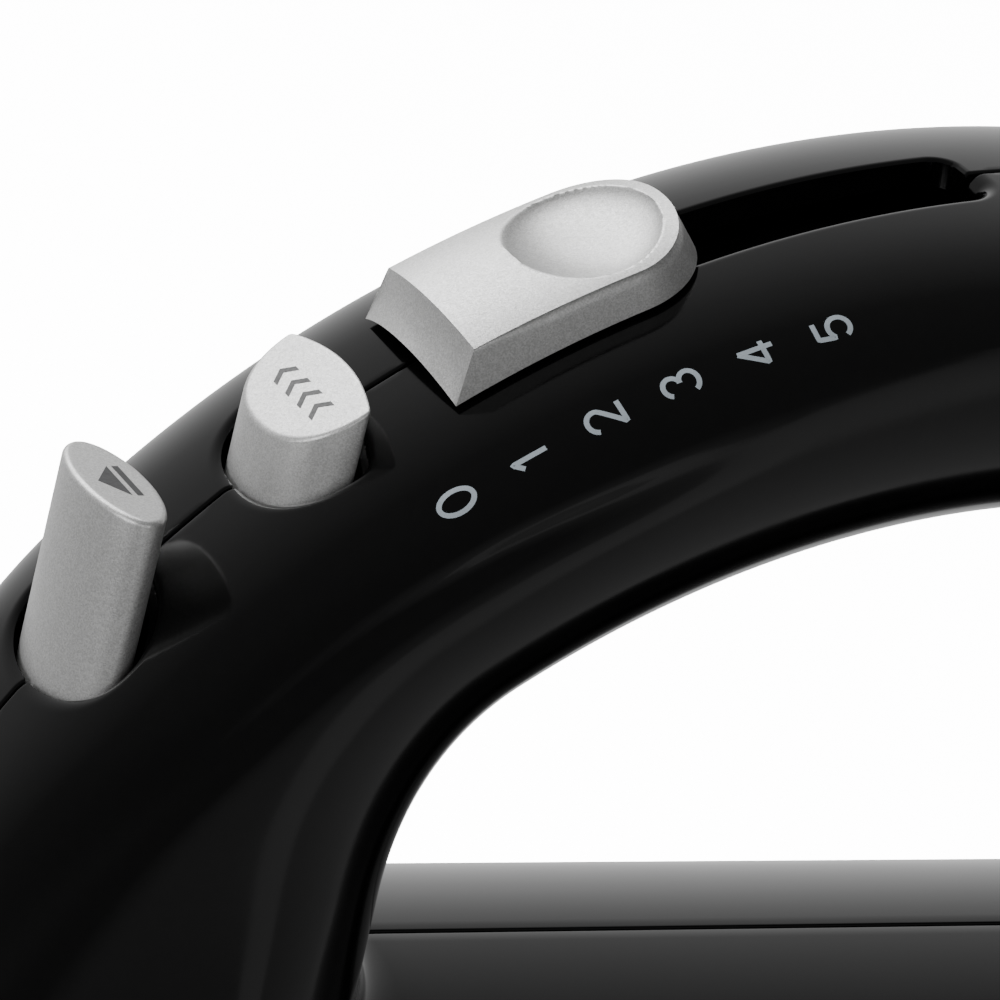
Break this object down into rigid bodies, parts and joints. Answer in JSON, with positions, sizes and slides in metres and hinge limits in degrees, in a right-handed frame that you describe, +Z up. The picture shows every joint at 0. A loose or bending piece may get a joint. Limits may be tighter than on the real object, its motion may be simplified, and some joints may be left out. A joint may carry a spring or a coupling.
{
  "type": "hand mixer",
  "caption": "Hand mixer with an arched loop handle, sliding speed knob, boost and eject buttons, gloss black clamshell body and a pair of wire beaters.",
  "frame": {"origin": "centre of the grip, on the parting plane, 15.5 mm under the top of the arched handle", "axes": "+X towards the heel (rear), -X towards the nose, +Y to the user's right, +Z up, with the beaters hanging down"},
  "size_m": [0.2058, 0.0782, 0.2597],
  "materials": {
    "gloss_black": "polished black moulding",
    "silver_paint": "silver metallic paint, satin",
    "dark_plastic": "black, satin",
    "grey_plastic": "glass-filled grey",
    "white_nylon": "natural nylon",
    "steel": "ground",
    "beater_steel": "polished stainless",
    "zinc_steel": "zinc plated",
    "lamination": "varnished laminations",
    "copper": "enamelled copper",
    "bronze": "sintered bronze",
    "carbon": "carbon",
    "board_green": "solder mask",
    "rubber": "matt",
    "capacitor_yellow": "moulded case"
  },
  "bodies": {
    "body": {"housing_left": "gloss_black", "housing_right": "gloss_black", "case_screw_1": "zinc_steel", "case_screw_2": "zinc_steel", "case_screw_3": "zinc_steel", "case_screw_4": "zinc_steel", "case_screw_5": "zinc_steel", "speed_switch": "grey_plastic", "turbo_switch": "grey_plastic", "turbo_spring": "steel", "eject_guide": "dark_plastic", "eject_spring": "steel", "stator_core": "lamination", "field_coil_upper": "copper", "field_coil_lower": "copper", "carbon_brush_left": "carbon", "carbon_brush_right": "carbon", "brush_holder_left": "bronze", "brush_holder_right": "bronze", "motor_bracket_front": "zinc_steel", "motor_bracket_rear": "zinc_steel", "bearing_bush_front": "bronze", "bearing_bush_rear": "bronze", "motor_bolt_1": "zinc_steel", "motor_bolt_2": "zinc_steel", "sleeve_bush_left": "bronze", "sleeve_bush_right": "bronze", "gearbox_frame": "grey_plastic", "thrust_bush": "bronze", "gearbox_cover": "grey_plastic", "cover_screw_1": "zinc_steel", "cover_screw_2": "zinc_steel", "socket_plate": "dark_plastic", "circuit_board": "board_green", "suppression_capacitor": "capacitor_yellow", "speed_chip_heatsink": "zinc_steel", "heel_pad": "rubber", "cord_gland": "rubber"},
    "speed_slider": {"speed_knob": "silver_paint", "slider_carrier": "dark_plastic"},
    "turbo_key": {"turbo_button": "silver_paint"},
    "eject_key": {"eject_button": "silver_paint", "eject_yoke": "white_nylon"},
    "motor_rotor": {"motor_shaft": "steel", "worm": "steel", "rotor_core": "lamination", "rotor_winding_front": "copper", "rotor_winding_rear": "copper", "commutator": "copper", "cooling_fan": "white_nylon"},
    "drive_left": {"worm_wheel_left": "white_nylon", "drive_sleeve_left": "steel"},
    "drive_right": {"worm_wheel_right": "white_nylon", "drive_sleeve_right": "steel"},
    "beater_left": {"beater_shaft_left": "beater_steel", "beater_loop_left_a": "beater_steel", "beater_loop_left_b": "beater_steel"},
    "beater_right": {"beater_shaft_right": "beater_steel", "beater_loop_right_a": "beater_steel", "beater_loop_right_b": "beater_steel"}
  },
  "joints": [
    {"name": "speed_slide", "type": "hinge", "parent": "body", "child": "speed_slider", "pos_m": [0, 0, -0.0945], "axis": [0, 1, 0], "range_deg": [0, 17.66]},
    {"name": "turbo_press", "type": "slide", "parent": "body", "child": "turbo_key", "axis": [0, 0, -1], "range_m": [0, 0.003], "stiffness_N_per_m": 500, "springref_m": -0.002, "deforming": ["turbo_spring"]},
    {"name": "eject_press", "type": "slide", "parent": "body", "child": "eject_key", "axis": [0, 0, -1], "range_m": [0, 0.005], "stiffness_N_per_m": 1500, "springref_m": -0.003, "deforming": ["eject_spring"]},
    {"name": "motor_spin", "type": "hinge", "parent": "body", "child": "motor_rotor", "pos_m": [0, 0, -0.09], "axis": [1, 0, 0], "continuous": true},
    {"name": "drive_left_spin", "type": "hinge", "parent": "body", "child": "drive_left", "pos_m": [-0.072, -0.0175, -0.09], "axis": [0, 0, 1], "continuous": true},
    {"name": "drive_right_spin", "type": "hinge", "parent": "body", "child": "drive_right", "pos_m": [-0.072, 0.0175, -0.09], "axis": [0, 0, 1], "continuous": true},
    {"name": "beater_left_release", "type": "slide", "parent": "drive_left", "child": "beater_left", "axis": [0, 0, -1], "range_m": [0, 0.005]},
    {"name": "beater_right_release", "type": "slide", "parent": "drive_right", "child": "beater_right", "axis": [0, 0, -1], "range_m": [0, 0.005]}
  ],
  "couplings": [
    {"joint": "drive_left_spin", "follows": "motor_spin", "ratio": 0.041667},
    {"joint": "drive_right_spin", "follows": "motor_spin", "ratio": -0.041667},
    {"joint": "beater_left_release", "follows": "eject_press", "ratio": 1},
    {"joint": "beater_right_release", "follows": "eject_press", "ratio": 1}
  ]
}
